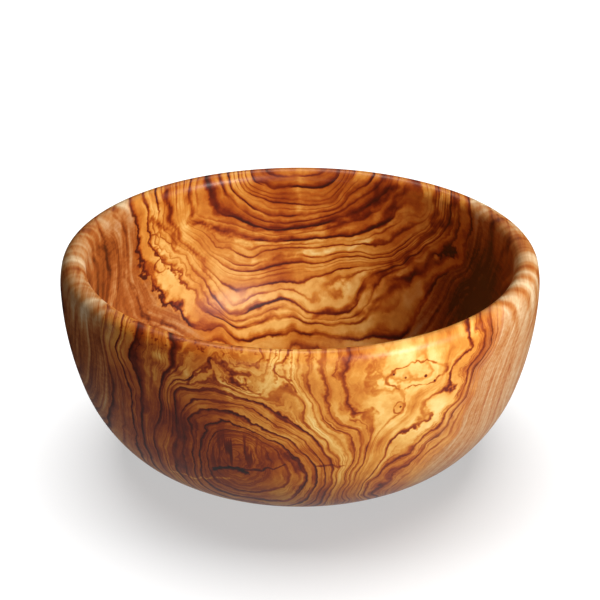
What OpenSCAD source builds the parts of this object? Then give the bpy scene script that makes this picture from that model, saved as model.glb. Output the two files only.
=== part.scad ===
// Turned salad bowl, made from one solid block of olive wood.
// The origin is the centre of the foot on the table, and +Z is up.
// Slopes are in degrees from level: 0 is the floor and 90 is an upright wall.

/* [Bowl] */
// Outside diameter at the belly, the widest place
bowl_d = 260; // [244:2:284]
// Height from the table to the crest of the rim
bowl_h = 113; // [109:1:118]
// Thickness of the rim, which is rounded over in a half circle
rim_t = 13; // [9:0.5:16]

/* [Outside curve] */
// Height of the belly above the table
belly_z = 98; // [95:0.5:102]
// Radius of the lip, which leans in from the belly to the rim
lip_r = 42; // [30:1:80]
// Radius of the shoulder, the long curve under the belly
shoulder_r = 169; // [155:1:185]
// Slope where the shoulder runs into the flank
shoulder_slope = 72; // [70:0.5:74]
// Radius of the flank, the curve of the lower wall
flank_r = 83; // [72:1:88]
// Slope where the flank runs into the heel, the tight curve down to the foot
flank_slope = 52; // [46:1:58]
// Diameter of the flat foot
foot_d = 146; // [130:2:152]

/* [Hollow] */
// Radius of the inside wall, which leaves the rim upright
wall_r = 170; // [150:2:200]
// Slope where the inside wall runs into the corner
corner_slope = 70; // [68:0.5:72]
// Radius of the corner between the inside wall and the floor
corner_r = 48; // [40:1:50]
// Thickness of the dished floor at its middle
floor_t = 14; // [8:0.5:16]

/* [Hidden] */
// Largest turn between two points of a curve, in degrees
turn = 2;
$fn = 180;

// Direction from a curve's centre to its point of a given slope, as [radius, height]
function outward(slope) = [sin(slope), -cos(slope)];

// Points of a curve from one slope to another, without the last point
function curve(centre, radius, from, to, steps) =
    [for (i = [0 : steps - 1]) centre + radius * outward(from + (to - from) * i / steps)];

// Number of steps that keeps each turn of a curve small
function steps_for(from, to) = max(4, ceil(abs(to - from) / turn));

function arc(centre, radius, from, to) = curve(centre, radius, from, to, steps_for(from, to));

// Rim and lip: the rim's round leaves the lip along the lip's own slope
belly_r = bowl_d / 2;
rim_r = rim_t / 2;
rim_z = bowl_h - rim_r;
lip_c = [belly_r - lip_r, belly_z];
rim_slope = 90 + asin((rim_z - belly_z) / (lip_r - rim_r));
rim_c = lip_c + (lip_r - rim_r) * outward(rim_slope);

// Outside under the belly: each curve leaves the one above it along its slope,
// and the heel's radius is the one that ends on the foot's edge
shoulder_c = [belly_r - shoulder_r, belly_z];
flank_top = shoulder_c + shoulder_r * outward(shoulder_slope);
flank_c = flank_top - flank_r * outward(shoulder_slope);
heel_top = flank_c + flank_r * outward(flank_slope);
heel_drop = [foot_d / 2, 0] - heel_top;
heel_r = -(heel_drop * heel_drop) / (2 * heel_drop * outward(flank_slope));
heel_c = heel_top - heel_r * outward(flank_slope);
foot_slope = asin((foot_d / 2 - heel_c[0]) / heel_r);

// Hollow: wall, corner and floor, with the floor level where it meets the axis
wall_c = rim_c - [rim_r + wall_r, 0];
corner_top = wall_c + wall_r * outward(corner_slope);
corner_c = corner_top - corner_r * outward(corner_slope);
floor_slope = 2 * atan((corner_c[1] - corner_r - floor_t) / corner_c[0]);
floor_r = corner_r + corner_c[0] / sin(floor_slope);
floor_c = [0, floor_t + floor_r];

// Half section of the wall, from the middle of the foot round to the middle of the floor
section = concat(
    [[0, 0]],
    arc(heel_c, heel_r, foot_slope, flank_slope),
    arc(flank_c, flank_r, flank_slope, shoulder_slope),
    arc(shoulder_c, shoulder_r, shoulder_slope, 90),
    arc(lip_c, lip_r, 90, rim_slope),
    curve(rim_c, rim_r, rim_slope, 180, 15),
    curve(rim_c, rim_r, 180, 270, 18),
    arc(wall_c, wall_r, 90, corner_slope),
    arc(corner_c, corner_r, corner_slope, floor_slope),
    curve(floor_c, floor_r, floor_slope, 0, 12),
    [[0, floor_t]]
);

module bowl() {
    color("#c98a45") rotate_extrude() polygon(section);
}

bowl();
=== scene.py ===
import bpy
import bmesh
import math
import numpy as np
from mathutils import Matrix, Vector


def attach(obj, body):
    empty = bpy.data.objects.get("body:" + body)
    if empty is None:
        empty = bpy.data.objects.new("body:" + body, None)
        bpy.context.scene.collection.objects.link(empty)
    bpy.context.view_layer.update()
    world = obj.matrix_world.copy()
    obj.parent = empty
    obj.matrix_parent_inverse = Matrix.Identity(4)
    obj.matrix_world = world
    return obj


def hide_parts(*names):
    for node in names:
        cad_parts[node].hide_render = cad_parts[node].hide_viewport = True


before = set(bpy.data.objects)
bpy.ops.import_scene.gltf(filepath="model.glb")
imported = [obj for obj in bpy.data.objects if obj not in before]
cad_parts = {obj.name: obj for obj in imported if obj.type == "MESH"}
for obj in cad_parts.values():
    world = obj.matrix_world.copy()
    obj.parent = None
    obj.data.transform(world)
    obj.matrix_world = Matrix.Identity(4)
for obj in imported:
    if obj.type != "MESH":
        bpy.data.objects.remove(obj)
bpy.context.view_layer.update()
print("frame loaded:", list(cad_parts))


# turned bowl, in metres and degrees, the same curves as the CAD section
bowlShape = {
    "diameter": 0.260,
    "height": 0.113,
    "rim": 0.013,
    "bellyHeight": 0.098,
    "lipRadius": 0.042,
    "shoulderRadius": 0.169,
    "shoulderSlope": 72,
    "flankRadius": 0.083,
    "flankSlope": 52,
    "foot": 0.146,
    "wallRadius": 0.170,
    "cornerSlope": 70,
    "cornerRadius": 0.048,
    "floor": 0.014,
    # steps along each stretch of the section, then round the axis
    "footSteps": 10,
    "heelSteps": 24,
    "flankSteps": 17,
    "shoulderSteps": 34,
    "lipSteps": 6,
    "outerRimSteps": 11,
    "innerRimSteps": 12,
    "wallSteps": 34,
    "cornerSteps": 30,
    "floorSteps": 24,
    "aroundSteps": 420,
    "mergeGap": 1e-6,
}


def outward(slope):
    angle = math.radians(slope)
    return Vector((math.sin(angle), 0, -math.cos(angle)))


def drawSection(bm, shape):
    # each curve leaves the one before it along its own slope
    rimRadius = shape["rim"] / 2
    belly = Vector((shape["diameter"] / 2, 0, shape["bellyHeight"]))
    lipCentre = belly - shape["lipRadius"] * outward(90)
    lipToRim = shape["lipRadius"] - rimRadius
    rimSlope = 90 + math.degrees(math.asin((shape["height"] - rimRadius - belly.z) / lipToRim))
    rimCentre = lipCentre + lipToRim * outward(rimSlope)
    shoulderCentre = belly - shape["shoulderRadius"] * outward(90)
    flankTop = shoulderCentre + shape["shoulderRadius"] * outward(shape["shoulderSlope"])
    flankCentre = flankTop - shape["flankRadius"] * outward(shape["shoulderSlope"])
    # the heel ends on the edge of the foot
    heelTop = flankCentre + shape["flankRadius"] * outward(shape["flankSlope"])
    drop = Vector((shape["foot"] / 2, 0, 0)) - heelTop
    heelRadius = -drop.length_squared / (2 * drop.dot(outward(shape["flankSlope"])))
    heelCentre = heelTop - heelRadius * outward(shape["flankSlope"])
    footSlope = math.degrees(math.asin((shape["foot"] / 2 - heelCentre.x) / heelRadius))
    # the floor is level where it meets the axis
    wallCentre = rimCentre - (rimRadius + shape["wallRadius"]) * outward(90)
    cornerTop = wallCentre + shape["wallRadius"] * outward(shape["cornerSlope"])
    cornerCentre = cornerTop - shape["cornerRadius"] * outward(shape["cornerSlope"])
    floorRise = cornerCentre.z - shape["cornerRadius"] - shape["floor"]
    floorSlope = math.degrees(2 * math.atan(floorRise / cornerCentre.x))
    floorRadius = shape["cornerRadius"] + cornerCentre.x / math.sin(math.radians(floorSlope))
    floorCentre = Vector((0, 0, shape["floor"] + floorRadius))

    # a pencil point runs out along the foot, then round the half section, one spin for each curve
    tip = bm.verts.new((0, 0, 0))
    for step in range(shape["footSteps"]):
        tip = bmesh.ops.extrude_vert_indiv(bm, verts=[tip])["verts"][0]
        tip.co = ((step + 1) / shape["footSteps"] * shape["foot"] / 2, 0, 0)
    curves = (
        (heelCentre, footSlope, shape["flankSlope"], shape["heelSteps"]),
        (flankCentre, shape["flankSlope"], shape["shoulderSlope"], shape["flankSteps"]),
        (shoulderCentre, shape["shoulderSlope"], 90, shape["shoulderSteps"]),
        (lipCentre, 90, rimSlope, shape["lipSteps"]),
        (rimCentre, rimSlope, 180, shape["outerRimSteps"]),
        (rimCentre, 180, 270, shape["innerRimSteps"]),
        (wallCentre, 90, shape["cornerSlope"], shape["wallSteps"]),
        (cornerCentre, shape["cornerSlope"], floorSlope, shape["cornerSteps"]),
        (floorCentre, floorSlope, 0, shape["floorSteps"]),
    )
    for centre, fromSlope, toSlope, steps in curves:
        turn = math.radians(toSlope - fromSlope)
        made = bmesh.ops.spin(bm, geom=[tip], cent=centre, axis=(0, -1, 0), angle=turn, steps=steps)
        tip = next(part for part in made["geom_last"] if isinstance(part, bmesh.types.BMVert))


def turnBowl():
    bm = bmesh.new()
    drawSection(bm, bowlShape)
    bmesh.ops.spin(bm, geom=bm.verts[:] + bm.edges[:], cent=(0, 0, 0), axis=(0, 0, 1),
                   angle=2 * math.pi, steps=bowlShape["aroundSteps"], use_merge=True)
    bmesh.ops.remove_doubles(bm, verts=bm.verts[:], dist=bowlShape["mergeGap"])  # closes the two poles
    bmesh.ops.recalc_face_normals(bm, faces=bm.faces[:])
    for face in bm.faces:
        face.smooth = True
    mesh = bpy.data.meshes.new("turned_bowl")
    bm.to_mesh(mesh)
    bm.free()
    piece = bpy.data.objects.new("turned_bowl", mesh)
    bpy.context.scene.collection.objects.link(piece)
    print("bowl turned:", len(mesh.polygons), "faces")
    return piece


# olive wood, lengths in millimetres in the bowl's own frame: -y is the front, the log lies along y
oliveWood = {
    # growth as it shows in the log's two ends: ring number, then places (x, z) on that ring
    "backGrowth": (
        (7, ((0, 118),)),
        (21, ((-27, 108), (-20, 104), (-12, 102.5), (-1, 104), (8, 103), (16, 105), (23, 110))),
        (32.5, ((-36, 107), (-32, 102), (-24, 97), (-13, 93), (0, 92.5), (9, 91.5), (18, 93.5), (25, 101),
                (31, 110))),
        (40, ((-42, 110), (-41, 104), (-35, 98), (-28, 89.5), (-20, 86), (-10, 84.5), (0, 85.3), (12, 87),
              (24, 91.5), (31, 100), (42, 109))),
        (48, ((-53, 107), (-52, 97), (-48, 91), (-38, 85), (-28, 79.5), (-18, 76), (-8, 76), (3, 78),
              (14, 80), (24, 85), (34, 90), (45, 98), (54, 110))),
        (55, ((-67, 106), (-65, 98), (-66, 91), (-60, 86.5), (-52, 82.5), (-44, 76.5), (-36, 72.7),
              (-24, 71), (-12, 69), (3, 70), (17, 71.5), (31, 74), (40, 76.5), (47, 82.5), (56, 89),
              (60, 99), (64, 110))),
        (60, ((-52, 70.5), (-42, 66.5), (-28, 62), (-23, 65.5), (-10, 66), (2, 65.3), (14, 67), (26, 68.5),
              (36, 70), (46, 74.5), (56, 81), (63, 86), (68, 91), (75, 93), (78, 102), (78, 112))),
        (65, ((-42, 58.5), (-34, 56.5), (-28, 56), (0, 60.5), (11, 60), (22, 62.5), (32, 64), (46, 64.5),
              (56, 68), (63, 74.5), (70, 82), (76, 88), (80, 98), (81, 110))),
        (69, ((-18, 55), (-8, 56), (2, 57), (11, 55.7), (21, 58.5), (31, 61), (45, 61.7), (56, 64.8),
              (65, 72.5))),
        (79, ((-79, 110), (-78, 100), (-79, 92), (-74, 82), (-65, 72), (-58, 62), (-51, 53), (-44, 47),
              (-32, 44.5), (-20, 45), (0, 45), (8, 48), (16, 50.5), (24, 54.5), (36, 58), (48, 59.5))),
        (82, ((8, 33.5), (13, 39), (15.5, 43), (24, 42), (30, 47.5), (33, 51.5), (40, 54.5))),
        (86, ((-44, 31), (-30, 32.5), (-18, 34.5), (-8, 36), (-2, 32.5), (4, 28.8), (12, 27.5), (22, 29),
              (30, 31.5), (34.5, 38), (40, 47), (48, 55.5), (57, 61), (66, 70), (75, 78.5), (82, 85),
              (86, 93), (88, 104), (89, 112))),
        (92, ((-12, 27), (0, 26), (12, 25.3), (25, 25.8), (40, 31), (48, 36), (57, 44), (66, 53.5),
              (75, 61), (83, 70), (92, 78), (94, 90), (95, 104))),
        (97, ((99, 112), (99.5, 98), (98, 87), (95, 78), (88, 69), (80, 58), (76, 48), (69, 37), (61, 27))),
        (97, ((-98, 110), (-95.5, 96), (-95, 82), (-92, 69), (-88, 60.5), (-85, 53), (-80, 47), (-71, 39),
              (-62, 31), (-55, 27), (-47, 28))),
    ),
    "frontGrowth": (
        (2, ((-31, 52),)),
        (12, ((-41, 46), (-41, 57), (-37, 65), (-31, 67), (-25, 65), (-21, 57), (-21, 46), (-31, 38))),
        (23, ((-45, 45), (-45, 56), (-43, 64), (-36, 71), (-30, 70.5), (-22, 68), (-14, 62), (-9.5, 55),
              (-7.5, 46), (-10, 34), (-28, 26), (-42, 32))),
        (30, ((-49, 43), (-49, 55), (-47, 66), (-42, 72), (-36, 76), (-30, 73), (-22, 70), (-15, 66),
              (-7, 61.5), (-1, 54), (2, 47), (2.5, 38), (-2, 26), (-25, 18), (-44, 25))),
        (36, ((-51, 27), (-53, 38), (-53, 50), (-54, 63), (-57, 71), (-50, 78), (-42, 80.5), (-36, 81.5),
              (-28, 80), (-20, 76), (-10, 70.5), (-4, 65.5), (3, 57), (7, 50.5), (9, 44), (8.5, 34),
              (5, 22))),
        (43, ((-57, 45), (-57, 58), (-58, 70), (-55, 80), (-46, 86), (-36, 87.5), (-26, 85.5), (-17, 80),
              (-12, 75), (-4, 70), (3, 64), (9, 56), (12.5, 46), (12.5, 34))),
        (50, ((-62, 30), (-63, 46), (-61, 60), (-60.5, 72), (-62, 86), (-57, 90.5), (-48, 92.5), (-40, 93),
              (-30, 90.5), (-20, 88), (-10, 84), (-4, 78))),
        (54, ((-5, 112), (-10, 106), (-7, 101), (-2, 95), (1, 90), (1, 82), (5, 74.5), (11, 68), (13, 58),
              (20, 52), (20.5, 48), (17, 42), (15, 30), (13, 18))),
        (57, ((-54, 94), (-50, 101), (-44, 103.5), (-41, 110), (-36, 107), (-32, 103.5), (-25, 104),
              (-26, 97), (-20, 93.5))),
        (61, ((2, 112), (1.5, 101), (5, 93), (9, 85), (12, 78.5), (19, 72), (25, 65), (27, 57), (26, 50),
              (22.5, 43), (22, 32), (20, 18))),
        (64, ((12, 110), (9.5, 103), (12, 95), (11.5, 87), (15, 80), (21, 75))),
        (65, ((-63, 112), (-65, 100), (-67.5, 88), (-69, 76), (-71.5, 62), (-74, 52), (-73, 40), (-70, 28))),
        (68, ((20, 106), (21, 97), (24, 88), (26, 82), (31.5, 78), (34.5, 69), (33.5, 60), (31.5, 48),
              (29, 35), (26, 18))),
        (62, ((-52, 109), (-46, 110.5), (-34, 111), (-28, 109.5), (-20, 107))),
        (71, ((52, 98), (45, 86), (62, 95), (50, 78), (40, 92), (58, 110), (66, 92), (42, 72))),
        (77, ((-82, 108), (-84, 99), (-79, 87), (-78.5, 77), (-79.5, 64), (-79.5, 50), (-77, 36), (-72, 22))),
        (82, ((82, 112), (85, 103), (84, 98), (76, 96.5), (73, 93), (75, 89), (79, 86), (77, 82), (70, 83.5),
              (65, 84.5), (60, 81), (60, 76), (64, 71), (63, 68), (56, 67.5), (50, 66), (45, 63), (43, 57),
              (37, 45), (32, 34), (29, 20))),
        (84, ((-89, 112), (-91, 98), (-88, 90), (-85.5, 80), (-85, 66), (-84, 50), (-84, 34), (-80, 20))),
        (86, ((40, 36), (44, 45), (50, 47.5), (56, 50), (59, 56), (64, 58.8), (69, 59))),
        (90, ((95, 110), (95.5, 99), (90, 92.5), (86.5, 84), (84, 75.5), (76, 67), (72, 60), (63, 52),
              (57, 44), (50, 37), (45, 26), (40, 15))),
        (97, ((101, 110), (98, 98), (90.5, 89), (88, 79), (84, 68), (81, 57), (73, 46), (62, 35), (50, 20))),
        (97, ((-98, 110), (-97, 95), (-96, 80), (-96.5, 65), (-100, 51), (-103, 38), (-102, 25))),
    ),
    "ringSlack": 30,  # how loosely the rings follow those places
    # where the back goes over to the front, in y
    "growthTurnover": 50,
    "ringTurnover": 25,
    "backStrokeEdge": (30, 60),
    "frontStrokeEdge": (-60, -90),
    # rings in lists of up to ten: first number, span of numbers, then for each ring its number,
    # its thin dark line, the soft band inside it and the band's width
    "backRings": (0, 50, (
        (8, 0.3, 0.3, 3), (14, 0.6, 0.3, 2.5), (21, 1.0, 0.9, 4), (26, 0.35, 0.3, 2), (29.5, 0.3, 0.3, 2),
        (32.5, 0.7, 0.4, 2.5), (36, 0.3, 0.2, 1.5), (40, 0.9, 0.5, 2.5), (44, 0.6, 0.5, 2.5),
        (48, 1.0, 1.0, 3.5))),
    "backOuterRings": (48, 34, (
        (51, 0.35, 0.2, 1.5), (55, 1.0, 0.9, 3.2), (57.6, 0.4, 0.2, 1.2), (60, 0.7, 0.4, 1.6),
        (65, 0.6, 0.5, 2), (69, 0.7, 0.7, 3), (72, 0.35, 0.2, 1.5), (75, 0.3, 0.2, 2), (79, 0.8, 0.5, 2.5))),
    "backLastRings": (80, 40, (
        (82, 0.5, 0.2, 1.5), (86, 1.0, 0.8, 2.5), (89, 0.5, 0.4, 1.6), (92, 0.9, 0.7, 2.2),
        (97, 0.9, 0.6, 2.2), (101, 0.5, 0.4, 2), (105, 0.6, 0.5, 3), (110, 0.3, 0.3, 2.6),
        (116, 0.3, 0.3, 3))),
    "frontRings": (0, 52, (
        (7, 0.25, 0.2, 2), (12, 0.4, 0.2, 2), (17, 0.3, 0.3, 2), (23, 0.8, 0.6, 2.5), (26.5, 0.3, 0.2, 1.5),
        (30, 1.0, 0.9, 2.6), (36, 0.9, 0.9, 3.4), (40, 0.3, 0.2, 1.5), (43, 0.8, 0.6, 2.2),
        (50, 0.9, 0.9, 4.5))),
    "frontLeftRings": (51, 50, (
        (54, 0.5, 0.4, 2), (57, 0.9, 0.5, 1.8), (65, 0.8, 0.9, 5), (71, 0.3, 0.3, 2), (77, 1.0, 1.0, 4),
        (81, 0.4, 0.3, 2), (84, 1.0, 1.0, 2.2), (90, 0.4, 0.4, 3), (96.5, 0.9, 0.9, 4))),
    "frontRightRings": (51, 50, (
        (54, 0.6, 0.5, 2.4), (58, 0.25, 0.2, 1.5), (61, 0.6, 0.3, 1.5), (64, 0.5, 0.3, 1.4),
        (68, 0.6, 0.35, 2), (71, 0.3, 0.2, 1.5), (82, 0.75, 0.35, 1.6), (86, 0.6, 0.4, 1.8),
        (90, 0.85, 0.5, 2.4), (93.5, 0.5, 0.3, 1.6))),
    "leftSide": (-15, -35),  # x over which the right list goes over to the left one
    # profile of a line and of a band, in rings or shares of the band's width, and how far each darkens
    "lineEdge": 0.3,
    "lineInside": 0.35,
    "lineOutside": 0.12,
    "bandCrest": 0.4,
    "bandEnd": 0.7,
    "bandDarkness": 0.5,
    "lineDarkness": 0.88,
    # waves in the rings, drawn out along the log: length, amount in rings, then detail
    "alongLog": (1.0, 0.3, 1.0),
    "broadWave": (45, 2.5),
    "middleWave": {"length": 18, "back": 2.0, "moreAtFront": 2.5, "detail": 1.5},
    "wildWaves": ((13, 10.0, 2.5), (5, 4.5, 2.0), (2.2, 2.6, 1.0)),
    "strayWave": (9, 5.0),
    "wildEverywhere": 0.2,
    "wildAtFront": 0.17,
    # wild grain: place, reach, strength
    "wildPlaces": (((-85, 75, 65), 60, 0.6), ((-25, -121, 98), 45, 0.3), ((-31, -118, 55), 38, 0.5),
                   ((0, 30, 14), 60, 0.7), ((95, 60, 80), 40, 0.6)),
    # quiet grain: place, reach, how much of the figure goes
    "quietPlaces": (((-62, 97, 62), 38, 0.8), ((12, 92, 41), 30, 0.65), ((-70, 91, 92), 34, 0.9),
                    ((73, 88, 100), 30, 0.85)),
    # fewer fine lines in the pale heart: place, outer and inner reach, how much goes
    "paleHeart": ((54, -118, 93), 34, 20, 0.85),
    # every ring fades in and out along its length
    "ringFade": {"length": 22, "detail": 1.5, "alongLog": 0.3, "byRing": 8.0, "range": (0.34, 0.6),
                 "faintest": 0.1, "moreAtFront": 0.3, "strongest": 1.3},
    # patchy strength: length, noise from and to, strength from and to
    "bandPatches": (24, 0.36, 0.6, 0.5, 1.1),
    "finePatches": (18, 0.42, 0.62, 0.05, 0.4),
    "outlinePatches": (5, 0.36, 0.56, 0.2, 0.55),
    "strokePatches": (6, 0.3, 0.6, 0.5, 1.15),
    "fineLines": {"perRing": 0.45, "detail": 1.5, "width": 0.08, "strength": 0.7, "inBands": 0.7,
                  "inWild": 0.2, "shift": -0.07, "back": 0.3, "moreAtFront": 0.7},
    # tone between the lines: amounts up and down the palette
    "ringTone": {"perRing": 0.1, "detail": 2.0, "amount": 0.55},
    "broadTone": {"length": 28, "detail": 3.0, "amount": 0.7, "shift": -0.03},
    "figure": {"length": 1.5, "detail": 3.0, "roughness": 0.6, "alongRing": 0.14, "back": 0.16,
               "moreAtFront": 0.16},
    "mottle": {"length": 5, "detail": 4.0, "roughness": 0.65, "amount": 0.24},
    # paler and darker places: place, reach, shift of tone; the darker place at (42, 108, 95) is painted
    # shade, on the back wall inside under the right rim
    "zones": (((-75, -105, 60), 60, 0.3), ((-31, -118, 48), 48, 0.18), ((54, -118, 93), 50, -0.2),
              ((-74, -104, 98), 36, 0.05), ((82, -98, 72), 34, 0.1), ((-28, -122, 98), 40, 0.06),
              ((-8, -124, 104), 20, -0.1), ((10, -127, 85), 42, -0.08), ((0, 118, 108), 52, 0.12),
              ((42, 108, 95), 42, 0.2), ((15, 100, 42), 38, -0.14), ((-40, 100, 45), 42, -0.06),
              ((-60, 95, 80), 36, 0.04), ((-78, 80, 60), 46, -0.1), ((-5, 108, 57), 24, 0.08),
              ((-20, 80, 25), 42, -0.08), ((-60, -103, 114), 32, 0.06), ((-15, -118, 114), 32, 0.04)),
    # small marks with their sizes, outlined by a wavy hand
    "patch": ((56, -118, 97), 6.5),
    "patchSquash": (0.43, 0.1, 1.0),
    "patchOutline": 0.75,
    "eyes": (((49, -120, 81), 3.2), ((-87, 76, 85), 4.0), ((-84, 78, 78), 3.0), ((-83, 74, 69), 3.4),
             ((-86, 68, 62), 2.2), ((-73, 68, 48), 2.6), ((-62, 70, 38), 2.4)),
    "eyeOutline": 1.1,
    "pinholes": (((45, -122, 100), 0.9), ((51, -120, 97), 1.0), ((61, -115, 95.5), 1.2),
                 ((65.5, -112, 91.5), 1.0), ((49, -120, 81), 1.0)),
    "pinholeCore": 0.4,
    "pinholeDarkness": 0.9,
    "wobble": (7, 9.0),  # length and height of the hand's waves
    # dark upright streaks in the heart of the whorl
    "heartStreaks": {"squash": (1.0, 0.1, 0.12), "length": 2.2, "range": (0.46, 0.6),
                     "place": (-31, -118, 57), "reach": 24, "strength": 0.9},
    # broad soft strokes on the back and the front, from one (x, z) to another: half width, darkness
    "backShades": (
        ((-28, 58), (-8, 60.5), 2.0, -0.18), ((-8, 60.5), (20, 63.5), 2.0, -0.25),
        ((20, 63.5), (47, 73.5), 2.0, -0.25), ((-1, 112), (0, 88), 3.0, -0.14),
        ((26, 82), (44, 97), 3.0, 0.2), ((44, 97), (50, 112), 3.0, 0.2),
        ((18, 77), (38, 86), 3.5, 0.25), ((38, 86), (57, 110), 3.5, 0.25),
        ((26, 73), (48, 82), 3.0, 0.2), ((48, 82), (63, 110), 3.0, 0.22),
        ((10, 28), (30, 33), 2.5, 0.3), ((30, 33), (40, 44), 2.5, 0.3),
        ((40, 44), (66, 70), 3.0, 0.28), ((66, 70), (84, 96), 3.0, 0.25),
        ((36, 31), (56, 46), 2.5, 0.25), ((56, 46), (72, 60), 3.0, 0.28),
        ((72, 60), (90, 80), 3.0, 0.28), ((42, 53), (60, 59), 2.0, 0.2),
        ((60, 59), (76, 77), 2.5, 0.22), ((-79, 111), (-77, 95), 2.0, 0.3),
        ((-77, 95), (-72, 80), 2.0, 0.3), ((-72, 80), (-62, 68), 2.0, 0.28),
        ((-62, 68), (-54, 53), 2.0, 0.22), ((-87, 99), (-81, 90), 2.0, 0.3),
        ((-81, 90), (-74, 79), 2.0, 0.3), ((79, 87), (81, 112), 2.5, 0.3),
        ((86, 92), (90, 112), 3.0, 0.35), ((-89, 110), (-85, 98), 5.0, -0.2),
        ((-86, 88), (-80, 72), 6.0, -0.13), ((-76, 64), (-66, 46), 7.0, -0.08),
        ((-72, 108), (-69, 88), 5.0, -0.1), ((73, 112), (72, 96), 5.0, 0.14),
        ((15, 39), (28, 45), 7.0, -0.18), ((-67, 110), (-65, 98), 1.8, 0.26),
        ((-65, 98), (-66, 90), 1.8, 0.28), ((-66, 90), (-52, 82.5), 1.8, 0.3),
        ((-52, 82.5), (-38, 73.5), 2.2, 0.3), ((-38, 73.5), (-16, 70), 2.0, 0.22),
        ((-16, 70), (4, 70), 2.2, 0.25), ((4, 70), (30, 74), 2.0, 0.2),
        ((-32, 79), (-14, 76), 2.2, 0.25), ((-14, 76), (6, 78), 2.2, 0.25),
        ((6, 78), (24, 84), 2.2, 0.22)),
    "frontShades": (
        ((-24, 69), (-10, 60), 2.5, 0.2), ((-10, 60), (0, 47), 2.5, 0.2),
        ((-61, 86), (-64, 38), 3.5, 0.1), ((-56, 72), (-59, 36), 2.5, 0.1),
        ((-39, 95.5), (-29, 89.5), 2.5, -0.25), ((-69, 105), (-62, 99), 3.0, -0.18),
        ((-58, 104), (-54, 97), 2.5, -0.15), ((-74, 96), (-69, 88), 2.5, -0.14),
        ((-73, 102), (-66, 93), 1.8, 0.16), ((-64, 108), (-58, 99), 1.8, 0.16)),
    # thin strokes on the front, in the same form
    "frontStrokes": (
        ((-43, 43), (-36, 44.5), 1.7, 0.4), ((-36, 44.5), (-26, 42), 1.9, 0.45),
        ((-30, 44.5), (-18, 46), 1.3, 0.35), ((-18, 46), (-9, 50), 1.1, 0.3),
        ((9, 49.5), (21, 48.5), 1.2, 0.3), ((-66, 27.5), (-52, 30), 1.1, -0.25),
        ((-52, 30), (-36, 36), 1.1, -0.25), ((-55, 92), (-50, 100), 1.0, 0.3),
        ((-50, 100), (-43, 104), 1.0, 0.3), ((-43, 104), (-41, 110), 0.9, 0.3),
        ((-41, 110), (-33, 103.5), 0.9, 0.25), ((-33, 103.5), (-24, 104), 1.2, 0.3),
        ((-27, 101), (-26, 96), 0.8, 0.25), ((-26, 96), (-18, 93), 1.0, 0.25),
        ((-5, 112), (-12, 105.5), 0.9, 0.3), ((-12, 105.5), (-7, 102), 0.9, 0.3),
        ((-7, 102), (-1, 94), 1.0, 0.3)),
    "strokeCore": 0.2,
    "unsteadyHand": {"xByZ": 0.45, "xByX": 0.2, "zByX": 0.4, "zByZ": 0.25},  # radians per millimetre
    # flecks along the front of the rim
    "flecks": {"squash": (1.0, 1.0, 1.8), "length": 3.2, "detail": 2.5, "patches": (0.56, 0.72, -0.03, 0.24),
               "height": (103, 110), "side": (25, -5)},
    # from pale to dark, and the tone that the darkest lines come to
    "darkest": 0.95,
    "palette": ((0.0, "f8d78e"), (0.15, "eeb964"), (0.3, "d98f38"), (0.45, "bc631b"), (0.58, "9b410d"),
                (0.7, "782606"), (0.82, "561704"), (0.92, "380f03"), (1.0, "210802")),
    # plain sapwood on both flanks, here from dark to pale
    "sapPalette": ((0.1, "4c1a06"), (0.25, "803810"), (0.4, "a85a22"), (0.52, "be7e44"), (0.66, "cca072"),
                   (0.8, "e4c49a")),
    "sapRings": (96.5, 98.5),  # it starts over these ring numbers
    "sapFrontRings": (82, 95),  # and in part over these at the front
    "sapFrontShare": 0.4,
    "sapFlank": (50, 74),  # this far out from the middle
    "sapSides": (-60, 60),  # left and right flank, each with its own tone
    "sapSideTones": (0.38, 0.57),
    "sapWave": (30, 6.0),
    "sapStreaks": {"alongRing": 0.05, "length": 2.2, "perRing": 0.9, "detail": 3.0, "amount": 0.45,
                   "shift": -0.725, "sideStrengths": (0.8, 0.6), "rim": (98, 108, 1.0, 0.4)},
    "sapCurl": {"squash": 0.1, "length": 8, "detail": 1.5, "middle": 0.45, "rim": (88, 109, 0.0, 0.95)},
    "sapStrands": {"squash": (1.0, 0.05, 1.0), "length": 1.8, "detail": 3.0, "roughness": 0.6, "amount": 0.3},
    "sapRim": (98, 110, 0.0, 0.12),  # paler rim on the left
    "sapLines": -0.28,
    # painted shade: the entry below darkens the right wall inside, where the rim keeps the light off
    "sapPaintedShade": ((108, 40, 62), 80, -0.5),  # darker right wall inside
    # oiled and rubbed finish
    "fibre": {"squash": (1.0, 0.07, 1.0), "length": 0.9, "detail": 2.0, "roughness": 0.6},
    "satin": 0.38,
    "satinByFibre": 0.14,
    "satinByLines": 0.08,
    "bumpStrength": 0.12,
    "bumpDistance": 0.0002,
    "specularLevel": 0.25,
    "coatWeight": 0.07,
    "coatRoughness": 0.2,
}
mmPerMetre = 1000


def ringPlate(growth):
    # thin plate laid through the drawn rings, which gives the ring number at any x and z
    noGap = 1e-9  # keeps the logarithm off zero
    spots = np.array([spot for number, run in growth for spot in run], dtype=float)
    numbers = [number for number, run in growth for spot in run]
    count = len(spots)
    gaps = np.sum((spots[:, None] - spots[None]) ** 2, axis=2)
    level = np.hstack((np.ones((count, 1)), spots))
    system = np.zeros((count + 3, count + 3))
    system[:count, :count] = gaps * np.log(gaps + noGap) + oliveWood["ringSlack"] * np.eye(count)
    system[:count, count:] = level
    system[count:, :count] = level.T
    weights = np.linalg.solve(system, np.append(numbers, (0, 0, 0)))

    def ringAt(x, z):
        height = weights[count] + weights[count + 1] * x + weights[count + 2] * z
        for spot, weight in zip(spots, weights):
            gap = (x - spot[0]) ** 2 + (z - spot[1]) ** 2
            height += weight * gap * np.log(gap + noGap)
        return height

    return ringAt


def smooth(value, low, high):
    share = np.clip((value - low) / (high - low), 0, 1)
    return share * share * (3 - 2 * share)


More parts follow.
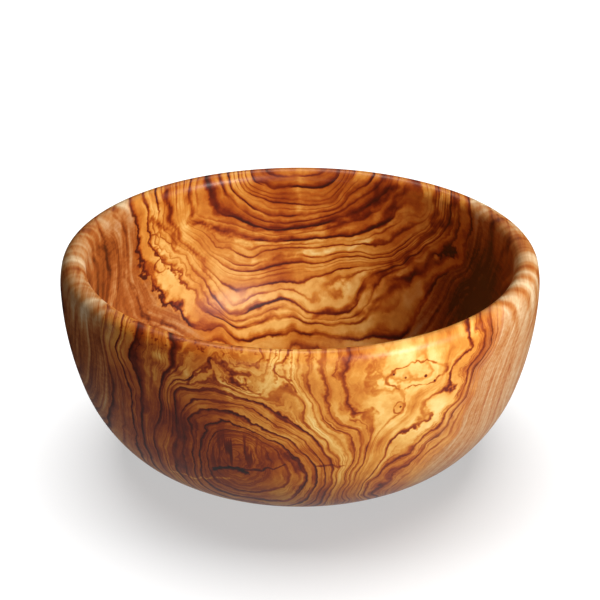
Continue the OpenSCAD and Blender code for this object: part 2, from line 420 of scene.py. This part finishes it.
def softStrokes(strokes, x, z):
    # the strongest stroke at each place, drawn with an unsteady hand
    hand = oliveWood["unsteadyHand"]
    drawnX = x + np.sin(hand["xByZ"] * z + hand["xByX"] * x)
    drawnZ = z + np.sin(hand["zByX"] * x - hand["zByZ"] * z)
    shade = np.zeros(len(x))
    for start, end, halfWidth, darkness in strokes:
        runX = end[0] - start[0]
        runZ = end[1] - start[1]
        gone = ((drawnX - start[0]) * runX + (drawnZ - start[1]) * runZ) / (runX ** 2 + runZ ** 2)
        gone = np.clip(gone, 0, 1)
        off = np.hypot(drawnX - start[0] - gone * runX, drawnZ - start[1] - gone * runZ)
        stroke = darkness * smooth(off, halfWidth, halfWidth * oliveWood["strokeCore"])
        shade = np.where(abs(stroke) > abs(shade), stroke, shade)
    return shade


def growRings(piece):
    # every vertex gets its ring number, its soft strokes and whether it is in the hollow
    places = np.zeros(len(piece.data.vertices) * 3)
    piece.data.vertices.foreach_get("co", places)
    x, y, z = places.reshape(-1, 3).T * mmPerMetre
    frontPart = smooth(y, oliveWood["growthTurnover"], -oliveWood["growthTurnover"])
    backGrowth = ringPlate(oliveWood["backGrowth"])(x, z)
    frontGrowth = ringPlate(oliveWood["frontGrowth"])(x, z)
    shade = softStrokes(oliveWood["backShades"], x, z) * smooth(y, *oliveWood["backStrokeEdge"])
    shade += softStrokes(oliveWood["frontShades"], x, z) * smooth(y, *oliveWood["frontStrokeEdge"])
    # the hollow is where the surface faces the axis; it keeps the painted shade on the inside
    facing = np.zeros(len(places))
    piece.data.vertex_normals.foreach_get("vector", facing)
    facing = facing.reshape(-1, 3).T
    hollow = (facing[0] * x + facing[1] * y < 0).astype(float)
    growth = backGrowth + frontPart * (frontGrowth - backGrowth)
    for name, values in (("growth", growth), ("shade", shade), ("hollow", hollow)):
        piece.data.attributes.new(name, "FLOAT", "POINT").data.foreach_set("value", values)
    print("rings grown")


def paint(code):
    # sRGB hex to the linear colour that a socket takes
    parts = [int(code[i:i + 2], 16) / 255 for i in (0, 2, 4)]
    linear = [c / 12.92 if c <= 0.04045 else ((c + 0.055) / 1.055) ** 2.4 for c in parts]
    return (*linear, 1.0)


# wood material, each helper adds its own nodes to it
wood = bpy.data.materials.new("oiled_olive_wood")
wood.use_nodes = True
woodNodes = wood.node_tree.nodes
woodLinks = wood.node_tree.links
woodNodes.clear()


def put(socket, value):
    if isinstance(value, bpy.types.NodeSocket):
        woodLinks.new(value, socket)
    elif value is not None:
        socket.default_value = value


def maths(operation, first, second=None, third=None, clamp=False):
    made = woodNodes.new("ShaderNodeMath")
    made.operation = operation
    made.use_clamp = clamp
    for socket, value in zip(made.inputs, (first, second, third)):
        put(socket, value)
    return made.outputs[0]


def vectors(operation, first, second=None, scale=None):
    made = woodNodes.new("ShaderNodeVectorMath")
    made.operation = operation
    put(made.inputs[0], first)
    put(made.inputs[1], second)
    put(made.inputs[3], scale)  # found by name only when the operation uses it
    return made.outputs["Value" if operation in ("LENGTH", "DISTANCE", "DOT_PRODUCT") else "Vector"]


def noise(spot, length, detail=2.0, roughness=0.5, output="Fac"):
    made = woodNodes.new("ShaderNodeTexNoise")
    put(made.inputs["Vector"], spot)
    made.inputs["Scale"].default_value = 1 / length
    made.inputs["Detail"].default_value = detail
    made.inputs["Roughness"].default_value = roughness
    return made.outputs[output]


def lineNoise(value, scale, detail):
    made = woodNodes.new("ShaderNodeTexNoise")
    made.noise_dimensions = "1D"
    put(made.inputs["W"], value)
    made.inputs["Scale"].default_value = scale
    made.inputs["Detail"].default_value = detail
    return made.outputs["Fac"]


def ease(value, low, high, outLow=0.0, outHigh=1.0):
    made = woodNodes.new("ShaderNodeMapRange")
    made.interpolation_type = "SMOOTHSTEP"
    for socket, part in zip(made.inputs, (value, low, high, outLow, outHigh)):
        put(socket, part)
    return made.outputs[0]


def ramp(value, stops):
    made = woodNodes.new("ShaderNodeValToRGB")
    put(made.inputs[0], value)
    row = made.color_ramp.elements
    while len(row) < len(stops):
        row.new(1.0)
    for element, (position, colour) in zip(row, stops):
        element.position = position
        element.color = paint(colour) if isinstance(colour, str) else (colour, colour, colour, 1)
    return made.outputs["Color"]


def mix(factor, first, second):
    made = woodNodes.new("ShaderNodeMix")
    made.data_type = "RGBA"
    for number, value in ((0, factor), (6, first), (7, second)):  # the colour sockets
        put(made.inputs[number], value)
    return made.outputs[2]


def blend(factor, first, second):
    return maths("MULTIPLY_ADD", factor, maths("SUBTRACT", second, first), first)


def highest(first, *others):
    for other in others:
        first = maths("MAXIMUM", first, other)
    return first


def joinXyz(*parts):
    made = woodNodes.new("ShaderNodeCombineXYZ")
    for socket, part in zip(made.inputs, parts):
        put(socket, part)
    return made.outputs[0]


def stored(name):
    made = woodNodes.new("ShaderNodeAttribute")
    made.attribute_name = name
    return made.outputs["Fac"]


# place in millimetres, and the same drawn out along the log
place = vectors("SCALE", woodNodes.new("ShaderNodeTexCoord").outputs["Object"], scale=mmPerMetre)
along = vectors("MULTIPLY", place, oliveWood["alongLog"])
placeParts = woodNodes.new("ShaderNodeSeparateXYZ")
put(placeParts.inputs[0], place)
placeX, placeY, placeZ = placeParts.outputs
front = ease(placeY, oliveWood["ringTurnover"], -oliveWood["ringTurnover"])


def near(spot, reach, strength):
    return ease(vectors("DISTANCE", place, spot), reach, 0.0, 0.0, strength)


def squashed(shares):
    return vectors("MULTIPLY", place, shares)


def patches(length, *limits):
    return ease(noise(along, length), *limits)


def swing(value, amount):
    # noise from 0 to 1 becomes as much up as down
    return maths("MULTIPLY_ADD", value, amount, -amount / 2)


def wander(length, amount, detail=1.0):
    return maths("MULTIPLY", maths("SUBTRACT", noise(along, length, detail), 0.5), amount)


def wildGrain():
    wild = maths("MULTIPLY_ADD", front, oliveWood["wildAtFront"], oliveWood["wildEverywhere"])
    for spot, reach, strength in oliveWood["wildPlaces"]:
        wild = maths("ADD", near(spot, reach, strength), wild)
    return wild


def wanderingRing(growth, wild):
    # broad, middle and small waves, more where the grain is wild
    ring = maths("ADD", growth, wander(*oliveWood["broadWave"]))
    middle = oliveWood["middleWave"]
    amount = maths("MULTIPLY_ADD", front, middle["moreAtFront"], middle["back"])
    ring = maths("ADD", ring, wander(middle["length"], amount, middle["detail"]))
    for length, amount, detail in oliveWood["wildWaves"]:
        ring = maths("ADD", ring, wander(length, maths("MULTIPLY", wild, amount), detail))
    return ring


wild = wildGrain()
growth = stored("growth")
ring = wanderingRing(growth, wild)
# thin lines follow the rings, and the soft bands inside them stray from the lines a little
strayLength, strayAmount = oliveWood["strayWave"]
softRing = maths("ADD", ring, swing(noise(along, strayLength), strayAmount))


def ringRamp(ringNumber, start, span, stops):
    shares = [((number - start) / span, strength) for number, strength in stops]
    return ramp(maths("DIVIDE", maths("SUBTRACT", ringNumber, start), span), shares)


def drawLines(start, span, rings):
    stops = []
    for middle, line, band, width in rings:
        inside = oliveWood["lineEdge"] + oliveWood["lineInside"] * width
        outside = oliveWood["lineEdge"] + oliveWood["lineOutside"] * width
        stops += [(middle - inside, 0.0), (middle, line), (middle + outside, 0.0)]
    return ringRamp(ring, start, span, stops)


def drawBands(start, span, rings):
    stops = []
    for middle, line, band, width in rings:
        stops += [(middle - width, 0.0), (middle - oliveWood["bandCrest"], band),
                  (middle + oliveWood["bandEnd"], 0.0)]
    return ringRamp(softRing, start, span, stops)


leftSide = ease(placeX, *oliveWood["leftSide"])


def bothEnds(draw):
    backPart = highest(*[draw(*oliveWood[name]) for name in ("backRings", "backOuterRings", "backLastRings")])
    leftPart = draw(*oliveWood["frontLeftRings"])
    rightPart = draw(*oliveWood["frontRightRings"])
    frontPart = highest(draw(*oliveWood["frontRings"]), blend(leftSide, rightPart, leftPart))
    return blend(front, backPart, frontPart)


def fadingLines():
    fade = oliveWood["ringFade"]
    spot = joinXyz(maths("MULTIPLY_ADD", placeY, fade["alongLog"], placeX),
                   maths("MULTIPLY", ring, fade["byRing"]), placeZ)
    faded = noise(spot, fade["length"], fade["detail"])
    faintest = maths("MULTIPLY_ADD", front, fade["moreAtFront"], fade["faintest"])
    strength = ease(faded, *fade["range"], faintest, fade["strongest"])
    return maths("MULTIPLY", bothEnds(drawLines), strength, clamp=True)


def fineLines(bands):
    # many faint lines between the rings, more of them in bands and in wild grain
    fine = oliveWood["fineLines"]
    spot, reach, inner, share = oliveWood["paleHeart"]
    heart = maths("MULTIPLY", front, ease(vectors("DISTANCE", place, spot), reach, inner))
    calm = maths("MULTIPLY_ADD", heart, -share, 1.0)
    off = maths("ABSOLUTE", maths("SUBTRACT", lineNoise(ring, fine["perRing"], fine["detail"]), 0.5))
    amount = maths("ADD", patches(*oliveWood["finePatches"]),
                   maths("MULTIPLY_ADD", wild, fine["inWild"], fine["shift"]))
    amount = maths("MULTIPLY_ADD", bands, fine["inBands"], amount)
    drawn = maths("MULTIPLY", ease(off, 0.0, fine["width"], fine["strength"], 0.0), amount)
    drawn = maths("MULTIPLY", drawn, maths("MULTIPLY_ADD", front, fine["moreAtFront"], fine["back"]))
    return maths("MULTIPLY", drawn, calm)


def quietGrain():
    quiet = 1.0
    for spot, reach, share in oliveWood["quietPlaces"]:
        quiet = maths("MULTIPLY", quiet, maths("SUBTRACT", 1.0, near(spot, reach, share)))
    return quiet


lines = fadingLines()
bands = maths("MULTIPLY", bothEnds(drawBands), patches(*oliveWood["bandPatches"]), clamp=True)
quiet = quietGrain()
bands = maths("MULTIPLY", bands, quiet)
lines = maths("MULTIPLY", maths("MAXIMUM", lines, fineLines(bands)), quiet)

# place as a wavy hand draws it
wobbleLength, wobbleAmount = oliveWood["wobble"]
wobble = vectors("SUBTRACT", noise(along, wobbleLength, output="Color"), (0.5, 0.5, 0.5))
wobbled = vectors("ADD", place, vectors("SCALE", wobble, scale=wobbleAmount))


def smallMarks():
    # outlined patch, eyes, pinholes and the dark streaks in the whorl
    broken = patches(*oliveWood["outlinePatches"])

    def outline(distance, size, width):
        return ease(maths("ABSOLUTE", maths("SUBTRACT", distance, size)), 0.0, width, broken, 0.0)

    spot, size = oliveWood["patch"]
    off = vectors("MULTIPLY", vectors("SUBTRACT", wobbled, spot), oliveWood["patchSquash"])
    marks = outline(vectors("LENGTH", off), size, oliveWood["patchOutline"])
    for spot, size in oliveWood["eyes"]:
        eye = outline(vectors("DISTANCE", wobbled, spot), size, oliveWood["eyeOutline"])
        marks = maths("MAXIMUM", marks, eye)
    for spot, size in oliveWood["pinholes"]:
        hole = ease(vectors("DISTANCE", place, spot), size * oliveWood["pinholeCore"], size,
                    oliveWood["pinholeDarkness"], 0.0)
        marks = maths("MAXIMUM", marks, hole)
    heart = oliveWood["heartStreaks"]
    streaks = ease(noise(squashed(heart["squash"]), heart["length"]), *heart["range"])
    streaks = maths("MULTIPLY", streaks, near(heart["place"], heart["reach"], heart["strength"]))
    return maths("MAXIMUM", marks, streaks)


def thinStrokes():
    # crack, scratches and single lines of the front: the darkest and the palest stroke at each place
    flat = vectors("MULTIPLY", wobbled, (1.0, 0.0, 1.0))
    dark = 0.0
    pale = 0.0
    for start, end, halfWidth, darkness in oliveWood["frontStrokes"]:
        run = Vector((end[0] - start[0], 0, end[1] - start[1]))
        gone = vectors("SUBTRACT", flat, (start[0], 0, start[1]))
        share = maths("MULTIPLY", vectors("DOT_PRODUCT", gone, run / run.length_squared), 1.0, clamp=True)
        off = vectors("LENGTH", vectors("SUBTRACT", gone, vectors("SCALE", run, scale=share)))
        stroke = ease(off, halfWidth, halfWidth * oliveWood["strokeCore"], 0.0, darkness)
        if darkness > 0:
            dark = maths("MAXIMUM", stroke, dark)
        else:
            pale = maths("MINIMUM", stroke, pale)
    return maths("ADD", dark, pale)


def rimFlecks():
    fleck = oliveWood["flecks"]
    flecks = ease(noise(squashed(fleck["squash"]), fleck["length"], fleck["detail"]), *fleck["patches"])
    crest = maths("MULTIPLY", ease(placeZ, *fleck["height"]),
                  maths("MULTIPLY", front, ease(placeX, *fleck["side"])))
    return maths("MULTIPLY", flecks, crest)


def woodTone():
    # tone of the wood between the lines
    ringTone = oliveWood["ringTone"]
    tone = swing(lineNoise(softRing, ringTone["perRing"], ringTone["detail"]), ringTone["amount"])
    tone = maths("MULTIPLY", tone, quiet)
    broad = oliveWood["broadTone"]
    broadNoise = noise(along, broad["length"], broad["detail"])
    tone = maths("ADD", maths("MULTIPLY_ADD", broadNoise, broad["amount"], broad["shift"]), tone)
    # figure: short streaks along the rings, and a mottle
    figure = oliveWood["figure"]
    spot = joinXyz(ring, maths("MULTIPLY", placeX, figure["alongRing"]),
                   maths("MULTIPLY", placeZ, figure["alongRing"]))
    streaks = maths("SUBTRACT", noise(spot, figure["length"], figure["detail"], figure["roughness"]), 0.5)
    amount = maths("MULTIPLY_ADD", front, figure["moreAtFront"], figure["back"])
    tone = maths("ADD", maths("MULTIPLY", streaks, amount), tone)
    mottle = oliveWood["mottle"]
    mottled = noise(along, mottle["length"], mottle["detail"], mottle["roughness"])
    tone = maths("ADD", swing(mottled, mottle["amount"]), tone)
    # zones: tone of the wood, and at one place painted shade
    for spot, reach, shift in oliveWood["zones"]:
        tone = maths("ADD", near(spot, reach, shift), tone)
    tone = maths("MULTIPLY_ADD", thinStrokes(), ease(placeY, *oliveWood["frontStrokeEdge"]), tone)
    tone = maths("ADD", maths("MULTIPLY", stored("shade"), patches(*oliveWood["strokePatches"])), tone)
    return maths("ADD", rimFlecks(), tone)


def heartwood():
    light = maths("MULTIPLY", maths("MULTIPLY_ADD", bands, -oliveWood["bandDarkness"], 1.0),
                  maths("MULTIPLY_ADD", lines, -oliveWood["lineDarkness"], 1.0))
    return ramp(blend(light, oliveWood["darkest"], tone), oliveWood["palette"])


lines = maths("MAXIMUM", lines, smallMarks())
tone = woodTone()
colour = heartwood()


def sapwoodShare():
    atFront = ease(ring, *oliveWood["sapFrontRings"], 0.0, oliveWood["sapFrontShare"])
    share = maths("MAXIMUM", ease(ring, *oliveWood["sapRings"]), maths("MULTIPLY", atFront, front))
    return maths("MULTIPLY", share, ease(maths("ABSOLUTE", placeX), *oliveWood["sapFlank"]))


def sapStreaks():
    # soft streaks along the rings, and bars across the rim
    streak = oliveWood["sapStreaks"]
    sapRing = maths("ADD", growth, wander(*oliveWood["sapWave"]))
    spot = joinXyz(sapRing, maths("MULTIPLY", placeY, streak["alongRing"]),
                   maths("MULTIPLY", placeZ, streak["alongRing"]))
    ringStreaks = lineNoise(sapRing, streak["perRing"], streak["detail"])
    streaks = maths("ADD", noise(spot, streak["length"], streak["detail"]),
                    maths("MULTIPLY_ADD", ringStreaks, streak["amount"], streak["shift"]))
    strength = maths("MULTIPLY", ease(placeX, *oliveWood["sapSides"], *streak["sideStrengths"]),
                     ease(placeZ, *streak["rim"]))
    streaks = maths("MULTIPLY", streaks, strength)
    curl = oliveWood["sapCurl"]
    spot = joinXyz(maths("MULTIPLY", placeX, curl["squash"]), placeY,
                   maths("MULTIPLY", placeZ, curl["squash"]))
    bars = maths("SUBTRACT", noise(spot, curl["length"], curl["detail"]), curl["middle"])
    return maths("ADD", streaks, maths("MULTIPLY", bars, ease(placeZ, *curl["rim"])))


def sapTone():
    left, right = oliveWood["sapSides"]
    strand = oliveWood["sapStrands"]
    shown = maths("ADD", sapStreaks(), ease(placeX, left, right, *oliveWood["sapSideTones"]))
    rim = maths("MULTIPLY", ease(placeZ, *oliveWood["sapRim"]), ease(placeX, 0, left))
    shown = maths("ADD", shown, rim)
    strands = noise(squashed(strand["squash"]), strand["length"], strand["detail"], strand["roughness"])
    shown = maths("ADD", maths("ADD", shown, swing(strands, strand["amount"])),
                  maths("MULTIPLY", lines, oliveWood["sapLines"]))
    # painted shade on the right wall of the hollow, where the rim keeps the light off
    return maths("ADD", shown, maths("MULTIPLY", near(*oliveWood["sapPaintedShade"]), stored("hollow")))


colour = mix(sapwoodShare(), colour, ramp(sapTone(), oliveWood["sapPalette"]))


def oilWood():
    # satin, a little duller along the dark lines
    grain = oliveWood["fibre"]
    fibre = noise(squashed(grain["squash"]), grain["length"], grain["detail"], grain["roughness"])
    roughness = maths("MULTIPLY_ADD", fibre, oliveWood["satinByFibre"], oliveWood["satin"])
    roughness = maths("MULTIPLY_ADD", lines, oliveWood["satinByLines"], roughness)
    bump = woodNodes.new("ShaderNodeBump")
    bump.inputs["Strength"].default_value = oliveWood["bumpStrength"]
    bump.inputs["Distance"].default_value = oliveWood["bumpDistance"]
    put(bump.inputs["Height"], fibre)
    shader = woodNodes.new("ShaderNodeBsdfPrincipled")
    put(shader.inputs["Base Color"], colour)
    put(shader.inputs["Roughness"], roughness)
    put(shader.inputs["Normal"], bump.outputs[0])
    shader.inputs["Specular IOR Level"].default_value = oliveWood["specularLevel"]
    shader.inputs["Coat Weight"].default_value = oliveWood["coatWeight"]
    shader.inputs["Coat Roughness"].default_value = oliveWood["coatRoughness"]
    output = woodNodes.new("ShaderNodeOutputMaterial")
    woodLinks.new(shader.outputs[0], output.inputs[0])
    print("wood mixed:", len(woodNodes), "nodes")


oilWood()
bowl = turnBowl()
growRings(bowl)
bowl.data.materials.append(wood)
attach(bowl, "root")
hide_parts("bowl")


# floor, lights and camera, in metres, watts and degrees
studio = {
    "floorSize": 4,
    "floorRoughness": 0.9,
    "floorTone": 0.4,
    "floorGlow": 0.51,
    "mirroredGlow": 0.85,
    "mirroredPlace": (0.1, -0.22, 0),
    "mirroredReach": (0.1, 0.4),
    "bounceTone": 0.22,
    "lampTarget": (0, 0, 0.06),
    "keyPlace": (0.70, -0.58, 0.74),
    "keySize": (0.45, 0.45),
    "keyPower": 16.5,
    "fillPlace": (-0.1, 0.9, 1.4),
    "fillSize": (0.5, 0.4),
    "fillPower": 8.5,
    "fillColour": "fff2dc",
    "lowPlace": (-0.1, -1.2, 0.2),
    "lowSize": (1.0, 0.3),
    "lowPower": 2.6,
    "topPlace": (0.05, 0.62, 2.2),
    "topTarget": (0, 0, 0),
    "topSize": (2.6, 2.0),
    "topPower": 140,
    "skyColour": "ffd9b8",
    "skyStrength": 0.03,
    "cameraPlace": (0, -0.8126, 0.4661),
    "cameraPitch": 25.31,
    "sensorWidth": 36,
    "focalPixels": 1630,
    "framePixels": 600,
}


def floorMaterial():
    material = bpy.data.materials.new("pale_floor")
    material.use_nodes = True
    nodes = material.node_tree.nodes
    links = material.node_tree.links
    shader = nodes["Principled BSDF"]
    shader.inputs["Roughness"].default_value = studio["floorRoughness"]
    shader.inputs["Specular IOR Level"].default_value = 0.0
    shader.inputs["Emission Color"].default_value = (1, 1, 1, 1)

    def sumOf(first, firstShare, second, secondShare):
        made = [nodes.new("ShaderNodeMath") for i in range(2)]
        made[0].operation = "MULTIPLY"
        made[1].operation = "MULTIPLY_ADD"
        links.new(first, made[0].inputs[0])
        made[0].inputs[1].default_value = firstShare
        links.new(second, made[1].inputs[0])
        made[1].inputs[1].default_value = secondShare
        links.new(made[0].outputs[0], made[1].inputs[2])
        return made[1].outputs[0]

    # white for the camera and mirrored near the bowl, and a pale tone for the light thrown back
    rays = nodes.new("ShaderNodeLightPath").outputs
    shown = sumOf(rays["Is Camera Ray"], studio["floorTone"], rays["Is Diffuse Ray"], studio["bounceTone"])
    links.new(shown, shader.inputs["Base Color"])
    spread = nodes.new("ShaderNodeVectorMath")
    spread.operation = "DISTANCE"
    links.new(nodes.new("ShaderNodeTexCoord").outputs["Object"], spread.inputs[0])
    spread.inputs[1].default_value = studio["mirroredPlace"]
    close = nodes.new("ShaderNodeMapRange")
    links.new(spread.outputs["Value"], close.inputs[0])
    for socket, part in zip(list(close.inputs)[1:5], (*studio["mirroredReach"], 1.0, 0.0)):
        socket.default_value = part
    mirrored = nodes.new("ShaderNodeMath")
    mirrored.operation = "MULTIPLY"
    links.new(rays["Is Glossy Ray"], mirrored.inputs[0])
    links.new(close.outputs[0], mirrored.inputs[1])
    glow = sumOf(rays["Is Camera Ray"], studio["floorGlow"], mirrored.outputs[0], studio["mirroredGlow"])
    links.new(glow, shader.inputs["Emission Strength"])
    return material


def layFloor():
    bm = bmesh.new()
    bmesh.ops.create_grid(bm, x_segments=1, y_segments=1, size=studio["floorSize"])
    mesh = bpy.data.meshes.new("floor")
    bm.to_mesh(mesh)
    bm.free()
    floor = bpy.data.objects.new("floor", mesh)
    bpy.context.scene.collection.objects.link(floor)
    mesh.materials.append(floorMaterial())
    return floor


def hangLamp(name, spot, target, size, power, colour="ffffff"):
    lamp = bpy.data.lights.new(name, "AREA")
    lamp.color = paint(colour)[:3]
    lamp.shape = "RECTANGLE"
    lamp.size, lamp.size_y = size
    lamp.energy = power
    hung = bpy.data.objects.new(name, lamp)
    hung.location = spot
    hung.rotation_euler = (Vector(target) - Vector(spot)).to_track_quat("-Z", "Y").to_euler()
    bpy.context.scene.collection.objects.link(hung)
    return hung


def lightOnly(name, lamps, receiver):
    lit = bpy.data.collections.new(name)
    lit.objects.link(receiver)
    for lamp in lamps:
        lamp.light_linking.receiver_collection = lit


def setCamera():
    lens = bpy.data.cameras.new("photo_camera")
    lens.sensor_width = studio["sensorWidth"]
    lens.lens = studio["sensorWidth"] * studio["focalPixels"] / studio["framePixels"]
    camera = bpy.data.objects.new("photo_camera", lens)
    camera.location = studio["cameraPlace"]
    camera.rotation_euler = (math.radians(90 - studio["cameraPitch"]), 0, 0)
    bpy.context.scene.collection.objects.link(camera)
    bpy.context.scene.camera = camera


def setSky():
    world = bpy.data.worlds.new("studio")
    bpy.context.scene.world = world
    world.use_nodes = True
    background = world.node_tree.nodes["Background"]
    background.inputs["Color"].default_value = paint(studio["skyColour"])
    background.inputs["Strength"].default_value = studio["skyStrength"]


floor = layFloor()
keyLamp = hangLamp("key_lamp", studio["keyPlace"], studio["lampTarget"], studio["keySize"],
                   studio["keyPower"])
fillLamp = hangLamp("fill_lamp", studio["fillPlace"], studio["lampTarget"], studio["fillSize"],
                    studio["fillPower"], studio["fillColour"])
lowLamp = hangLamp("low_lamp", studio["lowPlace"], studio["lampTarget"], studio["lowSize"],
                   studio["lowPower"])
topLamp = hangLamp("top_lamp", studio["topPlace"], studio["topTarget"], studio["topSize"],
                   studio["topPower"])

# three lamps light the bowl and the top lamp lights the floor, which keeps one soft shadow
lightOnly("bowl_lit", (keyLamp, fillLamp, lowLamp), bowl)
lightOnly("floor_lit", (topLamp,), floor)
setSky()
setCamera()
bpy.context.scene.view_settings.view_transform = "Standard"
print("studio set")
